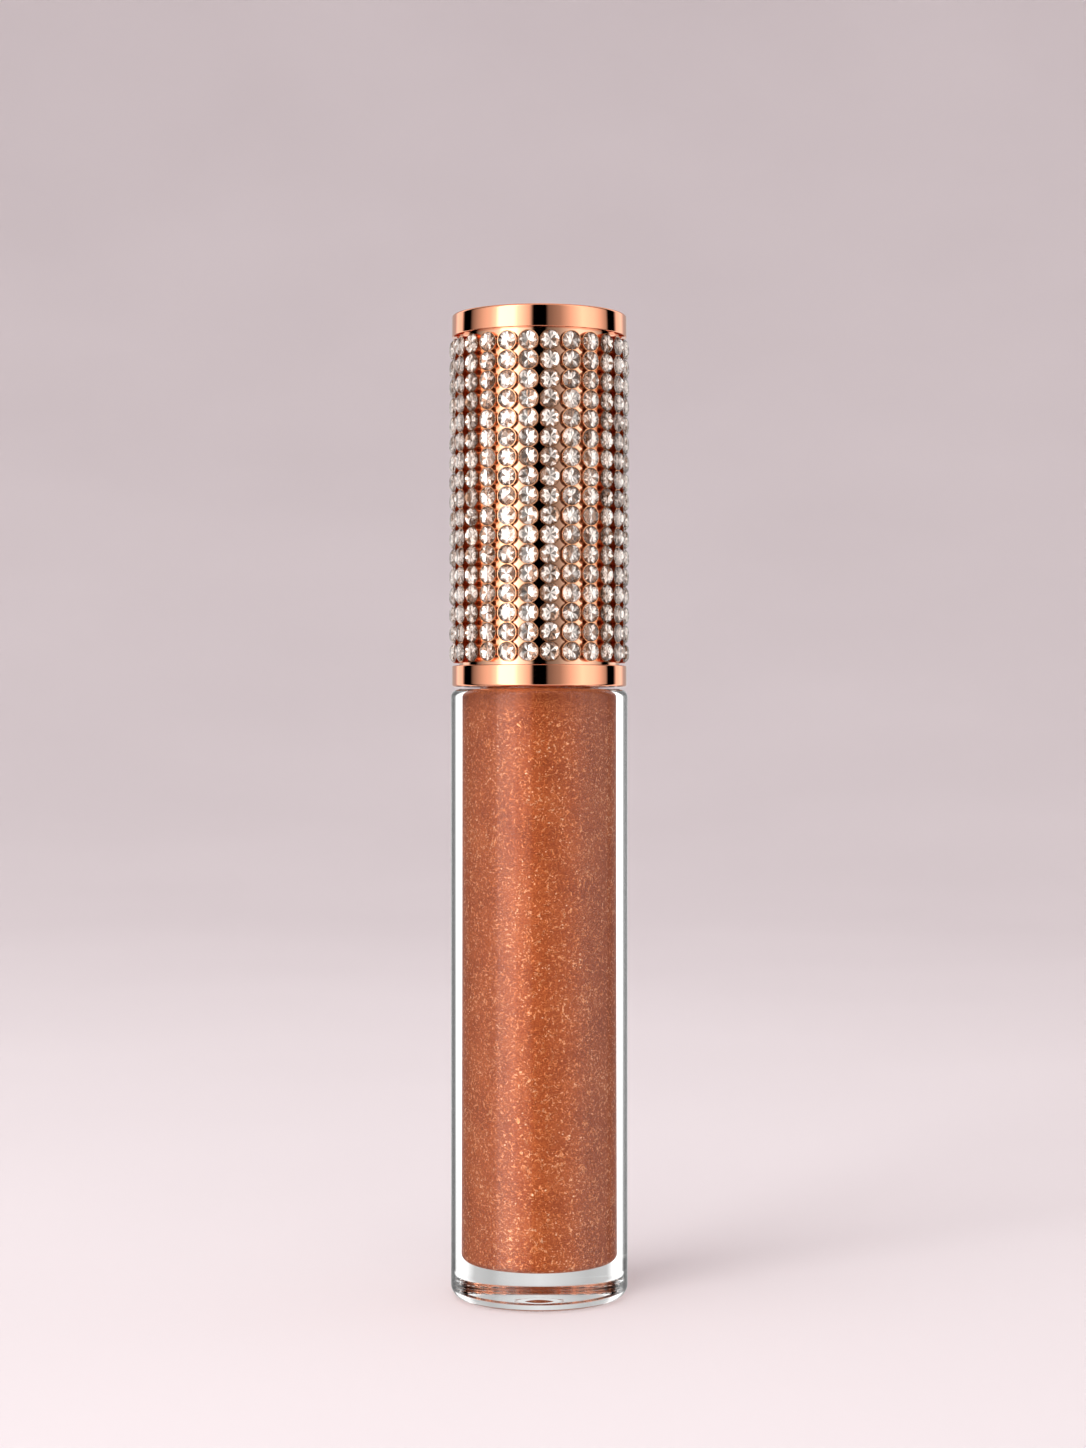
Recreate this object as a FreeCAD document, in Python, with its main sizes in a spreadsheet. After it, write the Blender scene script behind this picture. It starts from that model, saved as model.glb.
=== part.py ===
import FreeCAD, Part
import Sketcher

import math
import os
import re

# Lip gloss tube: a thick-walled clear bottle and a jewelled screw cap that carries the wand.
# The frame's origin is the centre of the bottle's base, with +Z up along the common axis.
# All sizes are millimetres.

SIZES = {
    # bottle
    "bottle_diameter": 19.0,
    "body_height": 65.2,
    "base_thickness": 3.6,
    "bottle_wall": 4.0,
    "base_round": 1.3,
    "shoulder_round": 0.9,
    "chamber_round": 0.8,
    "dimple_radius": 1.7,
    "dimple_depth": 0.35,
    "neck_height": 8.8,
    "neck_chamfer": 0.2,
    # mating threads of the neck and the inner cap
    "thread_height": 0.6,
    "thread_lead": 2.4,
    "thread_root_width": 1.1,
    "thread_crest_width": 0.6,
    "thread_start": 2.2,
    "thread_gap": 0.15,
    "thread_bury": 0.2,
    "thread_end_margin": 0.65,
    "cap_thread_turns": 1.25,
    # gloss
    "fill_under_wiper": 0.5,
    "fill_gap": 0.01,
    "fill_clearance": 0.35,
    "fill_under_tip": 0.8,
    # wiper
    "wiper_flange_height": 0.8,
    "wiper_flange_inset": 0.1,
    "wiper_plug_length": 4.0,
    "wiper_length": 7.5,
    "wiper_wall": 0.9,
    "wiper_lip_wall": 0.5,
    "wiper_lip_height": 0.8,
    "wiper_clearance": 0.2,
    # gasket
    "gasket_height": 0.8,
    "gasket_wand_gap": 0.5,
    # cap shell
    "cap_gap": 0.2,
    "band_inset": 0.1,
    "ring_height": 2.3,
    "ring_lip_height": 0.3,
    "ring_lip_width": 0.5,
    "zone_margin": 0.35,
    "top_band_height": 2.4,
    "top_wall": 1.2,
    "spigot_wall": 0.75,
    "band_round": 0.3,
    "seam_round": 0.12,
    "tube_wall": 0.65,
    # stones and their cups
    "row_count": 17,
    "stone_size": 2.02,
    "stone_gap": 0.01,
    "stone_proud": 0.27,
    "crown_height": 0.36,
    "girdle_height": 0.06,
    "pavilion_depth": 0.45,
    "table_radius": 0.58,
    "culet_radius": 0.3,
    "glue_gap": 0.03,
    "cup_wall": 0.07,
    "cup_floor": 0.1,
    "cup_side_gap": 0.01,
    # inner cap
    "skirt_recess": 0.5,
    "skirt_wall": 0.8,
    "ceiling_thickness": 1.2,
    "socket_depth": 9.3,
    "socket_radius": 2.3,
    "socket_wall": 1.7,
    "socket_roof": 1.0,
    "rib_thickness": 0.8,
    "rib_drop": 1.5,
    "rib_count": 6,
    # weight
    "weight_height": 10.0,
    "weight_gap": 0.2,
    "weight_side_gap": 0.7,
    "weight_bore_radius": 1.5,
    "weight_chamfer": 0.5,
    # wand and applicator
    "wand_radius": 1.5,
    "wand_head_chamfer": 0.3,
    "tip_gap": 3.4,
    "applicator_radius": 1.65,
    "applicator_length": 12.0,
    "applicator_slant_height": 7.0,
    "applicator_tip_width": 1.2,
    "applicator_round": 0.45,
    "tang_radius": 0.9,
    "tang_length": 5.0,
    # fits between glued or pressed pieces
    "press_gap": 0.02,
    "slip_gap": 0.05,
}

# Two lengths closer than this are the same.
CLOSE = 1e-5

# Radii, as expressions in the sheet's names.
BOTTLE_R = "(bottle_diameter / 2)"
CHAMBER_R = f"({BOTTLE_R} - bottle_wall)"
BAND_R = f"({BOTTLE_R} - band_inset)"
TABLE_AT = f"({BAND_R} + stone_proud)"
GIRDLE_TOP_AT = f"({TABLE_AT} - crown_height)"
GIRDLE_AT = f"({GIRDLE_TOP_AT} - girdle_height)"
CULET_AT = f"({GIRDLE_AT} - pavilion_depth)"
CUP_FLOOR_AT = f"({CULET_AT} - glue_gap)"
CUP_RIM_AT = f"({GIRDLE_AT} - glue_gap)"
CUP_R = "(stone_size / 2 + cup_wall)"
SADDLE_R = f"({CUP_FLOOR_AT} - cup_floor)"
TUBE_R = f"({SADDLE_R} - press_gap)"
TUBE_BORE_R = f"({TUBE_R} - tube_wall)"
LINER_R = f"({TUBE_BORE_R} - slip_gap)"
SKIRT_BORE_R = f"({LINER_R} - skirt_wall)"
THREAD_R = f"({SKIRT_BORE_R} - thread_gap)"
NECK_R = f"({THREAD_R} - thread_height)"
WIPER_R = f"({CHAMBER_R} - press_gap)"
WIPER_BORE_R = f"({WIPER_R} - wiper_wall)"
ORIFICE_R = "(applicator_radius + wiper_clearance)"
FILL_BORE_R = "(applicator_radius + fill_clearance)"
SPIGOT_R = f"({TUBE_BORE_R} - slip_gap)"
BOSS_R = "(socket_radius + socket_wall)"

# Heights.
NECK_TOP = "(body_height + neck_height)"
WIPER_TOP = f"({NECK_TOP} + wiper_flange_height)"
GASKET_BASE = f"({WIPER_TOP} + slip_gap)"
CEILING = f"({GASKET_BASE} + gasket_height + slip_gap)"
CAP_BASE = "(body_height + cap_gap)"
RING_TOP = f"({CAP_BASE} + ring_height)"
ROW_PITCH = "(stone_size + stone_gap)"
FIRST_ROW = f"({RING_TOP} + zone_margin + {ROW_PITCH} / 2)"
TUBE_TOP = f"({RING_TOP} + 2 * zone_margin + row_count * {ROW_PITCH})"
CAP_TOP = f"({TUBE_TOP} + top_band_height)"
SKIRT_BASE = f"({CAP_BASE} + skirt_recess)"
SOCKET_TOP = f"({CEILING} + socket_depth)"
LINER_TOP = f"({SOCKET_TOP} + socket_roof)"
WEIGHT_BASE = f"({LINER_TOP} + weight_gap)"
WEIGHT_TOP = f"({WEIGHT_BASE} + weight_height)"
SPIGOT_BASE = f"({WEIGHT_TOP} + weight_gap)"
TIP_AT = "(base_thickness + tip_gap)"
APPLICATOR_TOP = f"({TIP_AT} + applicator_length)"
NECK_THREAD_AT = "(body_height + thread_start)"
NECK_THREAD_END = f"({NECK_TOP} - thread_end_margin - thread_root_width / 2)"
CAP_THREAD_AT = f"({NECK_THREAD_AT} + thread_lead / 2)"
WIPER_END = f"({NECK_TOP} - wiper_length)"

doc = FreeCAD.newDocument("lip_gloss_tube")
sheet = doc.addObject("Spreadsheet::Sheet", "Sizes")
for row, (alias, value) in enumerate(SIZES.items(), start=1):
    sheet.set(f"A{row}", alias)
    sheet.set(f"B{row}", str(value))
    sheet.setAlias(f"B{row}", alias)
doc.recompute()

parts = []


def cells(text):
    """The expression with each of the sheet's names written as a reference to its cell."""
    return re.sub(r"[a-z_]+", lambda m: f"Sizes.{m.group()}" if m.group() in SIZES else m.group(), text)


def value_of(text):
    """What an expression in the sheet's names is worth now."""
    return float(sheet.evalExpression(cells(text)))


def bind(thing, prop, text):
    thing.setExpression(prop, cells(text))


def new_body(label):
    body = doc.addObject("PartDesign::Body", label)
    body.Label = label
    body.Placement = FreeCAD.Placement()
    parts.append(body)
    return body


def origin_item(body, role):
    return next(item for item in body.Origin.OriginFeatures if item.Role == role)


def new_sketch(body, name, plane="XZ_Plane", height=None):
    """A sketch on one of the body's own origin planes, raised to an expression's height."""
    sketch = body.newObject("Sketcher::SketchObject", name)
    sketch.AttachmentSupport = [(origin_item(body, plane), "")]
    sketch.MapMode = "FlatFace"
    if height:
        bind(sketch, "AttachmentOffset.Base.z", height)
    return sketch


def place_vertex(sketch, geometry, end, x, y):
    """Holds one end of a line at expressions' distances from the sketch's origin."""
    for kind, axis, text in (("DistanceX", -2, x), ("DistanceY", -1, y)):
        number = value_of(text)
        if abs(number) < CLOSE:
            sketch.addConstraint(Sketcher.Constraint("PointOnObject", geometry, end, axis))
            continue
        if number > 0:
            held = Sketcher.Constraint(kind, -1, 1, geometry, end, number)
        else:
            held = Sketcher.Constraint(kind, geometry, end, -1, 1, -number)
            text = f"-({text})"
        index = sketch.addConstraint(held)
        bind(sketch, f"Constraints[{index}]", text)


def add_outline(sketch, points):
    """A closed outline of straight lines through points given as pairs of expressions."""
    corners = [FreeCAD.Vector(value_of(x), value_of(y), 0) for x, y in points]
    count = len(corners)
    lines = [
        sketch.addGeometry(Part.LineSegment(corners[i], corners[(i + 1) % count]), False)
        for i in range(count)
    ]
    for i in range(count):
        sketch.addConstraint(Sketcher.Constraint("Coincident", lines[i], 2, lines[(i + 1) % count], 1))
    for line, (x, y) in zip(lines, points):
        place_vertex(sketch, line, 1, x, y)


def add_circle(sketch, radius):
    """A circle about the sketch's origin."""
    circle = sketch.addGeometry(
        Part.Circle(FreeCAD.Vector(), FreeCAD.Vector(0, 0, 1), value_of(radius)), False
    )
    sketch.addConstraint(Sketcher.Constraint("Coincident", circle, 3, -1, 1))
    index = sketch.addConstraint(Sketcher.Constraint("Radius", circle, value_of(radius)))
    bind(sketch, f"Constraints[{index}]", radius)


def revolve(body, name, points):
    """A revolved solid whose half-section is an outline of (radius, height) expressions."""
    sketch = new_sketch(body, f"{name}_section")
    add_outline(sketch, points)
    turned = body.newObject("PartDesign::Revolution", name)
    turned.Profile = sketch
    turned.ReferenceAxis = (sketch, ["V_Axis"])
    turned.Angle = 360
    doc.recompute()
    return turned


def pad(body, name, sketch, length):
    feature = body.newObject("PartDesign::Pad", name)
    feature.Profile = sketch
    bind(feature, "Length", length)
    doc.recompute()
    return feature


def pocket(body, name, sketch, length=None):
    """A pocket cut upwards from its sketch, or both ways through everything."""
    before = body.Shape.Volume
    feature = body.newObject("PartDesign::Pocket", name)
    feature.Profile = sketch
    if length:
        feature.Reversed = True
        bind(feature, "Length", length)
    else:
        feature.Type = "ThroughAll"
        feature.Midplane = True
    doc.recompute()
    if body.Shape.Volume >= before:
        raise RuntimeError(f"{name} cuts nothing")
    return feature


def rims(shape, *wanted):
    """The names of the circular edges about the axis at these (radius, height) expressions."""
    found = []
    for radius, height in wanted:
        r, z = value_of(radius), value_of(height)
        names = [
            f"Edge{number}"
            for number, edge in enumerate(shape.Edges, start=1)
            if isinstance(edge.Curve, Part.Circle)
            and abs(edge.Curve.Radius - r) < CLOSE
            and abs(edge.Curve.Center.z - z) < CLOSE
            and math.hypot(edge.Curve.Center.x, edge.Curve.Center.y) < CLOSE
        ]
        if not names:
            raise RuntimeError(f"no edge at radius {r}, height {z}")
        found += names
    return found


def fillet(body, name, base, radius, *wanted):
    feature = body.newObject("PartDesign::Fillet", name)
    feature.Base = (base, rims(base.Shape, *wanted))
    bind(feature, "Radius", radius)
    doc.recompute()
    return feature


def chamfer(body, name, base, size, *wanted):
    feature = body.newObject("PartDesign::Chamfer", name)
    feature.Base = (base, rims(base.Shape, *wanted))
    bind(feature, "Size", size)
    doc.recompute()
    return feature


def add_thread(body, name, inner, outer, widths, centre, turns):
    """A right-hand helical ridge between two radii, with its own width at each, starting on +X."""
    inner_half, outer_half = (f"({width} / 2)" for width in widths)
    section = new_sketch(body, f"{name}_section")
    corners = [
        (inner, f"{centre} - {inner_half}"),
        (outer, f"{centre} - {outer_half}"),
        (outer, f"{centre} + {outer_half}"),
        (inner, f"{centre} + {inner_half}"),
    ]
    add_outline(section, corners)
    doc.recompute()
    ridge = body.newObject("PartDesign::AdditiveHelix", name)
    ridge.Profile = section
    ridge.ReferenceAxis = (section, ["V_Axis"])
    ridge.Mode = "pitch-turns-angle"
    bind(ridge, "Pitch", "thread_lead")
    bind(ridge, "Turns", turns)
    ridge.LeftHanded = False
    ridge.Reversed = False
    doc.recompute()
    return ridge


def make_bottle():
    body = new_body("bottle")
    glass = revolve(
        body,
        "bottle_wall_turned",
        [
            ("0", "0"),
            (BOTTLE_R, "0"),
            (BOTTLE_R, "body_height"),
            (NECK_R, "body_height"),
            (NECK_R, NECK_TOP),
            (CHAMBER_R, NECK_TOP),
            (CHAMBER_R, "base_thickness"),
            ("0", "base_thickness"),
        ],
    )
    glass = fillet(body, "base_edge", glass, "base_round", (BOTTLE_R, "0"))
    glass = fillet(body, "shoulder_edge", glass, "shoulder_round", (BOTTLE_R, "body_height"))
    glass = fillet(body, "chamber_corner", glass, "chamber_round", (CHAMBER_R, "base_thickness"))
    chamfer(body, "neck_edge", glass, "neck_chamfer", (NECK_R, NECK_TOP))
    before = body.Shape.Volume
    dimple = body.newObject("PartDesign::SubtractiveSphere", "gate_dimple")
    sphere = "((dimple_radius * dimple_radius + dimple_depth * dimple_depth) / (2 * dimple_depth))"
    bind(dimple, "Radius", sphere)
    dimple.AttachmentSupport = [(origin_item(body, "XY_Plane"), "")]
    dimple.MapMode = "FlatFace"
    bind(dimple, "AttachmentOffset.Base.z", f"dimple_depth - {sphere}")
    doc.recompute()
    if body.Shape.Volume >= before:
        raise RuntimeError("the dimple cuts nothing")
    add_thread(
        body,
        "neck_thread",
        f"{NECK_R} - thread_bury",
        THREAD_R,
        ("thread_root_width", "thread_crest_width"),
        NECK_THREAD_AT,
        f"({NECK_THREAD_END} - {NECK_THREAD_AT}) / thread_lead",
    )


def make_gloss_fill():
    body = new_body("gloss_fill")
    outer = f"({CHAMBER_R} - fill_gap)"
    floor = "(base_thickness + fill_gap)"
    top = f"({WIPER_END} - fill_under_wiper)"
    well = f"({TIP_AT} - fill_under_tip)"
    gloss = revolve(
        body,
        "gloss_turned",
        [
            ("0", floor),
            (outer, floor),
            (outer, top),
            (FILL_BORE_R, top),
            (FILL_BORE_R, well),
            ("0", well),
        ],
    )
    fillet(body, "gloss_corner", gloss, "chamber_round", (outer, floor))


def make_wiper():
    body = new_body("wiper")
    flange = f"({NECK_R} - wiper_flange_inset)"
    plug_end = f"({NECK_TOP} - wiper_plug_length)"
    revolve(
        body,
        "wiper_turned",
        [
            (WIPER_BORE_R, WIPER_TOP),
            (WIPER_BORE_R, plug_end),
            (ORIFICE_R, f"{WIPER_END} + wiper_lip_height"),
            (ORIFICE_R, WIPER_END),
            (f"{ORIFICE_R} + wiper_lip_wall", WIPER_END),
            (WIPER_R, f"{plug_end} - wiper_lip_height"),
            (WIPER_R, NECK_TOP),
            (flange, NECK_TOP),
            (flange, WIPER_TOP),
        ],
    )


def make_gasket():
    body = new_body("gasket")
    washer = new_sketch(body, "washer", "XY_Plane", GASKET_BASE)
    add_circle(washer, NECK_R)
    add_circle(washer, "wand_radius + gasket_wand_gap")
    pad(body, "washer_pad", washer, "gasket_height")


def make_weight():
    body = new_body("weight")
    outer = f"({TUBE_BORE_R} - weight_side_gap)"
    disc = new_sketch(body, "slug", "XY_Plane", WEIGHT_BASE)
    add_circle(disc, outer)
    add_circle(disc, "weight_bore_radius")
    slug = pad(body, "slug_pad", disc, "weight_height")
    chamfer(body, "slug_edges", slug, "weight_chamfer", (outer, WEIGHT_BASE), (outer, WEIGHT_TOP))


def make_cap_tube():
    body = new_body("cap_tube")
    base = f"({CAP_BASE} + ring_lip_height)"
    wall = new_sketch(body, "tube_wall_ring", "XY_Plane", base)
    add_circle(wall, TUBE_R)
    add_circle(wall, TUBE_BORE_R)
    pad(body, "tube_pad", wall, f"{TUBE_TOP} - {base}")


def make_bottom_ring():
    body = new_body("bottom_ring")
    bore = f"({TUBE_R} + press_gap)"
    lip = f"({TUBE_R} - ring_lip_width)"
    lip_top = f"({CAP_BASE} + ring_lip_height)"
    ring = revolve(
        body,
        "ring_turned",
        [
            (lip, CAP_BASE),
            (BAND_R, CAP_BASE),
            (BAND_R, RING_TOP),
            (bore, RING_TOP),
            (bore, lip_top),
            (lip, lip_top),
        ],
    )
    ring = fillet(body, "ring_mouth_edge", ring, "band_round", (BAND_R, CAP_BASE))
    fillet(body, "ring_seam_edge", ring, "seam_round", (BAND_R, RING_TOP))


def make_top_cap():
    body = new_body("top_cap")
    inner = f"({SPIGOT_R} - spigot_wall)"
    head = revolve(
        body,
        "head_turned",
        [
            ("0", CAP_TOP),
            (BAND_R, CAP_TOP),
            (BAND_R, TUBE_TOP),
            (SPIGOT_R, TUBE_TOP),
            (SPIGOT_R, SPIGOT_BASE),
            (inner, SPIGOT_BASE),
            (inner, f"{CAP_TOP} - top_wall"),
            ("0", f"{CAP_TOP} - top_wall"),
        ],
    )
    head = fillet(body, "head_edge", head, "band_round", (BAND_R, CAP_TOP))
    fillet(body, "head_seam_edge", head, "seam_round", (BAND_R, TUBE_TOP))


def make_inner_cap():
    body = new_body("inner_cap")
    floor_top = f"({CEILING} + ceiling_thickness)"
    revolve(
        body,
        "liner_turned",
        [
            ("socket_radius", CEILING),
            (SKIRT_BORE_R, CEILING),
            (SKIRT_BORE_R, SKIRT_BASE),
            (LINER_R, SKIRT_BASE),
            (LINER_R, LINER_TOP),
            (SKIRT_BORE_R, LINER_TOP),
            (SKIRT_BORE_R, floor_top),
            (BOSS_R, floor_top),
            (BOSS_R, LINER_TOP),
            ("0", LINER_TOP),
            ("0", SOCKET_TOP),
            ("socket_radius", SOCKET_TOP),
        ],
    )
    web = new_sketch(body, "rib_plan", "XY_Plane", f"{CEILING} + ceiling_thickness / 2")
    near = f"({BOSS_R} - socket_wall / 2)"
    far = f"({SKIRT_BORE_R} + skirt_wall / 2)"
    half = "(rib_thickness / 2)"
    add_outline(web, [(near, f"-{half}"), (far, f"-{half}"), (far, half), (near, half)])
    rib = pad(body, "rib", web, f"{LINER_TOP} - rib_drop - {floor_top} + ceiling_thickness / 2")
    ring = body.newObject("PartDesign::PolarPattern", "ribs")
    ring.Originals = [rib]
    ring.Axis = (web, ["N_Axis"])
    ring.Angle = 360
    bind(ring, "Occurrences", "rib_count")
    body.Tip = ring
    doc.recompute()
    add_thread(
        body,
        "cap_thread",
        f"{SKIRT_BORE_R} - thread_height",
        f"{SKIRT_BORE_R} + thread_bury",
        ("thread_crest_width", "thread_root_width"),
        CAP_THREAD_AT,
        "cap_thread_turns",
    )


def make_wand():
    body = new_body("wand")
    head = "(socket_radius - press_gap)"
    head_top = f"({SOCKET_TOP} - slip_gap)"
    rod = revolve(
        body,
        "rod_turned",
        [
            ("0", f"{APPLICATOR_TOP} - tang_length"),
            ("tang_radius", f"{APPLICATOR_TOP} - tang_length"),
            ("tang_radius", APPLICATOR_TOP),
            ("wand_radius", APPLICATOR_TOP),
            ("wand_radius", CEILING),
            (head, CEILING),
            (head, head_top),
            ("0", head_top),
        ],
    )
    chamfer(body, "head_lead_in", rod, "wand_head_chamfer", (head, head_top))


def make_applicator():
    body = new_body("applicator")
    disc = new_sketch(body, "stem", "XY_Plane", TIP_AT)
    add_circle(disc, "applicator_radius")
    pad(body, "stem_pad", disc, "applicator_length")
    slant = new_sketch(body, "slant", "XZ_Plane")
    edge = "(applicator_tip_width - applicator_radius)"
    outside = "(2 * applicator_radius)"
    below = f"({TIP_AT} - applicator_tip_width)"
    add_outline(
        slant,
        [
            (edge, TIP_AT),
            (edge, below),
            (outside, below),
            (outside, f"{TIP_AT} + applicator_slant_height"),
        ],
    )
    cut = pocket(body, "slanted_face", slant)
    # Rounds the foot's outline and the rim of the slanted face, but not the stem's top.
    below_top = value_of(APPLICATOR_TOP) - CLOSE
    names = [
        f"Edge{number}"
        for number, edge in enumerate(cut.Shape.Edges, start=1)
        if edge.BoundBox.ZMax < below_top
    ]
    soft = body.newObject("PartDesign::Fillet", "soft_tip")
    soft.Base = (cut, names)
    bind(soft, "Radius", "applicator_round")
    doc.recompute()
    hole = new_sketch(body, "tang_hole", "XY_Plane", f"{APPLICATOR_TOP} - tang_length - slip_gap")
    add_circle(hole, "tang_radius + press_gap")
    pocket(body, "tang_socket", hole, "tang_length + 2 * slip_gap")


def column_count():
    """As many columns of cups as stand side by side round the tube."""
    half_angle = math.atan2(value_of(f"{CUP_R} + cup_side_gap"), value_of(SADDLE_R))
    return int(math.pi / half_angle)


def stone_master():
    """One stone, its table facing +X: four octagons joined by flat facets."""
    levels = [
        (CULET_AT, "culet_radius"),
        (GIRDLE_AT, "stone_size / 2"),
        (GIRDLE_TOP_AT, "stone_size / 2"),
        (TABLE_AT, "table_radius"),
    ]
    rings = []
    for number, (at, radius) in enumerate(levels, start=1):
        ring = doc.addObject("Part::RegularPolygon", f"stone_ring_{number}")
        ring.Polygon = 8
        bind(ring, "Circumradius", radius)
        ring.Placement = FreeCAD.Placement(
            FreeCAD.Vector(), FreeCAD.Rotation(FreeCAD.Vector(0, 1, 0), 90)
        )
        bind(ring, "Placement.Base.x", at)
        rings.append(ring)
    stone = doc.addObject("Part::Loft", "stone_master")
    stone.Sections = rings
    stone.Solid = True
    stone.Ruled = True
    doc.recompute()
    return stone


def radial_cylinder(name, start, length, radius):
    """A cylinder that points outwards along +X."""
    cylinder = doc.addObject("Part::Cylinder", name)
    bind(cylinder, "Radius", radius)
    bind(cylinder, "Height", length)
    cylinder.Placement = FreeCAD.Placement(
        FreeCAD.Vector(), FreeCAD.Rotation(FreeCAD.Vector(0, 1, 0), 90)
    )
    bind(cylinder, "Placement.Base.x", start)
    return cylinder


def cup_masters():
    """One cup's outside, its seat for the stone, and the round of the tube that the cups stand on."""
    outside = radial_cylinder("cup_outside", TUBE_BORE_R, f"{CUP_RIM_AT} - {TUBE_BORE_R}", CUP_R)
    seat = doc.addObject("Part::Cone", "cup_seat")
    bind(seat, "Radius1", "culet_radius + glue_gap")
    bind(seat, "Radius2", "stone_size / 2 + glue_gap")
    bind(seat, "Height", f"{GIRDLE_AT} - {CUP_FLOOR_AT}")
    seat.Placement = FreeCAD.Placement(
        FreeCAD.Vector(), FreeCAD.Rotation(FreeCAD.Vector(0, 1, 0), 90)
    )
    bind(seat, "Placement.Base.x", CUP_FLOOR_AT)
    saddle = doc.addObject("Part::Cylinder", "cup_saddle")
    bind(saddle, "Radius", SADDLE_R)
    bind(saddle, "Height", CAP_TOP)
    doc.recompute()
    return outside, seat, saddle


def raised(shape, height):
    copy = shape.copy()
    copy.translate(FreeCAD.Vector(0, 0, height))
    return copy


def turned(shape, degrees):
    copy = shape.copy()
    copy.rotate(FreeCAD.Vector(), FreeCAD.Vector(0, 0, 1), degrees)
    return copy


def add_feature(label, shape):
    feature = doc.addObject("Part::Feature", label)
    feature.Label = label
    feature.Shape = shape
    feature.Placement = FreeCAD.Placement()
    parts.append(feature)


def make_jewelled_zone():
    """The cup strips and the columns of stones, evenly spaced, with a gap at the front's centre."""
    columns = column_count()
    step = 360 / columns
    front = -90
    rows = [value_of(f"{FIRST_ROW} + {row} * {ROW_PITCH}") for row in range(round(SIZES["row_count"]))]
    stone = stone_master().Shape
    cup, seat, saddle = (master.Shape for master in cup_masters())
    cups = [raised(cup, z) for z in rows]
    strip = cups[0].fuse(cups[1:]).cut([saddle] + [raised(seat, z) for z in rows])
    strip = strip.removeSplitter()
    if len(strip.Solids) != 1:
        raise RuntimeError("the cups of a strip don't hold together")
    column = [raised(stone, z) for z in rows]
    angles = [front + (number + 0.5) * step for number in range(columns)]
    add_feature("setting_strips", Part.makeCompound([turned(strip.Solids[0], angle) for angle in angles]))
    for number, angle in enumerate(angles, start=1):
        stones = [turned(shape.Solids[0], angle) for shape in column]
        add_feature(f"crystals_{number:02d}", Part.makeCompound(stones))


def check_all():
    for thing in doc.Objects:
        faults = [state for state in thing.State if state in ("Invalid", "Error")]
        if faults:
            raise RuntimeError(f"{thing.Label} is {', '.join(faults)}")
    for part in parts:
        if part.Shape.isNull() or not part.Shape.isValid() or not part.Shape.Solids:
            raise RuntimeError(f"{part.Label} has no valid solid")


make_bottle()
make_gloss_fill()
make_wiper()
make_gasket()
make_weight()
make_cap_tube()
make_bottom_ring()
make_top_cap()
make_inner_cap()
make_wand()
make_applicator()
make_jewelled_zone()
doc.recompute()
check_all()
os.makedirs("parts", exist_ok=True)
for part in parts:
    part.Shape.exportStep(f"parts/{part.Label}.step")
    print(part.Label, len(part.Shape.Solids), "solids", round(part.Shape.Volume, 3), "mm3")
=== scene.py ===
import math
import random

import bpy
import numpy as np
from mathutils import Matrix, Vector


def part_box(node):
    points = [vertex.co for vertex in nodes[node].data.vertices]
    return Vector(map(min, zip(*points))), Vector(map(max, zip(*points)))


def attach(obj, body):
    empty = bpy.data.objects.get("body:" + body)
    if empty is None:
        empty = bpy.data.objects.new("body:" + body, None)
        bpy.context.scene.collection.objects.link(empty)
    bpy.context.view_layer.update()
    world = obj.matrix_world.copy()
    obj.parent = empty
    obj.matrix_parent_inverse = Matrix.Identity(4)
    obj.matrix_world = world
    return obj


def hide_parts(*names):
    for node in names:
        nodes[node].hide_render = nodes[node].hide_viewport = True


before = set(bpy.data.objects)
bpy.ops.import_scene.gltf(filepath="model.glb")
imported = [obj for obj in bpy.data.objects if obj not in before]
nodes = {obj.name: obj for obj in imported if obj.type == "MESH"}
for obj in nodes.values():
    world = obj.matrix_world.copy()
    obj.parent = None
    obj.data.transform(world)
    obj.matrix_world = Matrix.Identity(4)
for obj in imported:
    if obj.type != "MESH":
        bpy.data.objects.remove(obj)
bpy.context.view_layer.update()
MM = 0.001
rng = random.Random(11)

# ---------------------------------------------------------------- sizes, in metres
BOTTLE_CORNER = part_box("bottle")[1]
BOTTLE_R = BOTTLE_CORNER.x
NECK_TOP = BOTTLE_CORNER.z
BODY_TOP = 65.2 * MM
BASE_ROUND = 1.3 * MM
SHOULDER_ROUND = 0.9 * MM
CHAMBER_R = 5.5 * MM
CHAMBER_FLOOR = 3.6 * MM
CHAMBER_ROUND = 0.8 * MM
NECK_R = 6.4 * MM
NECK_CHAMFER = 0.2 * MM
DIMPLE_R = 1.7 * MM
DIMPLE_DEPTH = 0.35 * MM
THREAD_HEIGHT = 0.6 * MM
THREAD_LEAD = 2.4 * MM
THREAD_START = 67.4 * MM
THREAD_TURNS = 2.25
THREAD_ROOT = 0.55 * MM  # half the thread's width at its root, and at its crest
THREAD_CREST = 0.3 * MM
THREAD_FADE = 0.06  # the part of a turn over which each end of the thread fades out
WETTING = 0.02 * MM  # the gloss visual reaches this far into the glass, so no film of air shows
FILL_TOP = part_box("gloss_fill")[1].z
FILL_BORE_R = 2.0 * MM
FILL_WELL = 6.2 * MM

BAND_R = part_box("top_cap")[1].x
BAND_ROUND = 0.3 * MM
SEAM_ROUND = 0.12 * MM
CAP_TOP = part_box("top_cap")[1].z
SPIGOT_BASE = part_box("top_cap")[0].z
SPIGOT_R = 7.95 * MM
SPIGOT_WALL = 0.75 * MM
TOP_WALL = 1.2 * MM
RING_BASE, RING_TOP = (corner.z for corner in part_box("bottom_ring"))
RING_LIP_R = 8.15 * MM
TUBE_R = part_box("cap_tube")[1].x
TUBE_BORE_R = 8.0 * MM
TUBE_BASE, TUBE_TOP = (corner.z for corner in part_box("cap_tube"))
RING_SEAT_GAP = 0.02 * MM

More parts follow.
